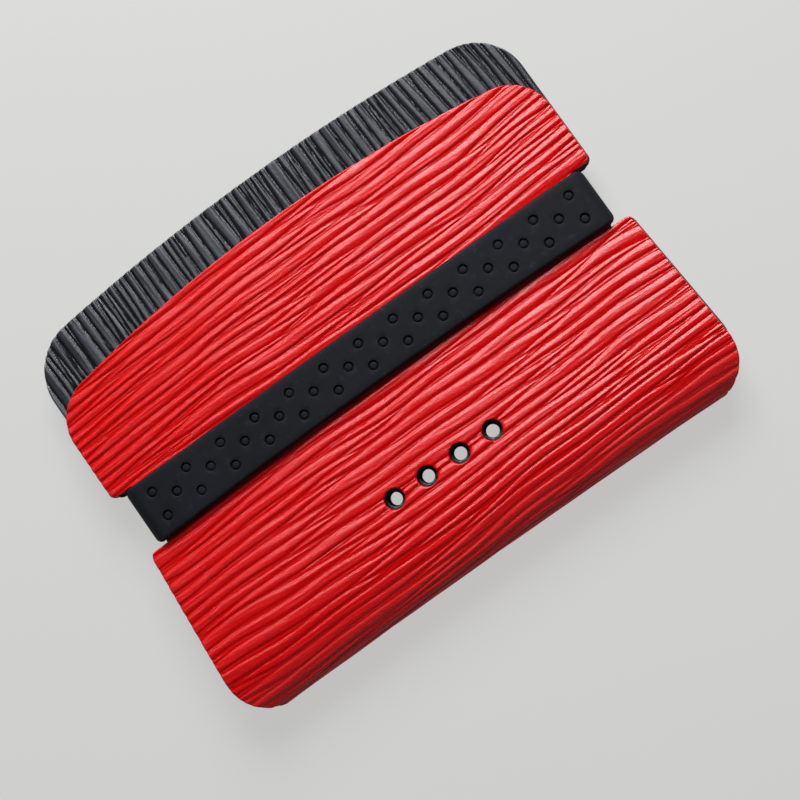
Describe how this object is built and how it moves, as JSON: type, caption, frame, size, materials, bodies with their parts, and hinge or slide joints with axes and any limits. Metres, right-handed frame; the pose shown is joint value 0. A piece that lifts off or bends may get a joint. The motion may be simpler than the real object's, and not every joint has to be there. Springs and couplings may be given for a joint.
{
  "type": "slim leather card wallet",
  "caption": "Slim card wallet: ribbed red leather folded over a taller black leather sleeve, both clamped by a black silicone band, with leaves that flex open.",
  "frame": {"origin": "centre of the resting place: the middle of the wallet's outline, on the plane that the band's back and the fold's back lie on", "axes": "+X across the wallet along the fold, +Y from the fold to the open edge, +Z out of the front face"},
  "size_m": [0.1014, 0.0768, 0.0096],
  "materials": {
    "red_leather": "red leather, embossed with fine wavy ribs along its length, soft satin sheen",
    "black_lining": "thin black backing bonded inside the red leather, plain and matt",
    "black_leather": "black leather with the same wavy ribs, running up and down, satin",
    "black_silicone": "matt blue-black silicone rubber, moulded with shallow round dimples"
  },
  "bodies": {
    "wallet_core": {"shell_front_panel": "red_leather", "shell_fold": "red_leather", "shell_back_leaf": "red_leather", "lining_front_panel": "black_lining", "lining_fold": "black_lining", "lining_back_leaf": "black_lining", "sleeve_front_panel": "black_leather", "sleeve_fold": "black_leather", "sleeve_back_panel": "black_leather", "silicone_band": "black_silicone"},
    "front_flap": {"shell_front_flap": "red_leather", "lining_front_flap": "black_lining"},
    "inner_front_flap": {"sleeve_front_flap": "black_leather"},
    "inner_back_flap": {"sleeve_back_flap": "black_leather"}
  },
  "joints": [
    {"name": "front_flap_bend", "type": "hinge", "parent": "wallet_core", "child": "front_flap", "pos_m": [0, 0.0075, 0.0074], "axis": [1, 0, 0], "range_deg": [0, 40], "stiffness_Nm_per_rad": 0.004},
    {"name": "inner_front_bend", "type": "hinge", "parent": "wallet_core", "child": "inner_front_flap", "pos_m": [0, 0.0075, 0.00565], "axis": [1, 0, 0], "range_deg": [0, 24], "stiffness_Nm_per_rad": 0.004},
    {"name": "inner_back_bend", "type": "hinge", "parent": "wallet_core", "child": "inner_back_flap", "pos_m": [0, 0.0075, 0.00395], "axis": [1, 0, 0], "range_deg": [0, 12], "stiffness_Nm_per_rad": 0.004}
  ],
  "couplings": [
    {"joint": "inner_front_bend", "follows": "front_flap_bend", "ratio": 0.6},
    {"joint": "inner_back_bend", "follows": "front_flap_bend", "ratio": 0.3}
  ]
}
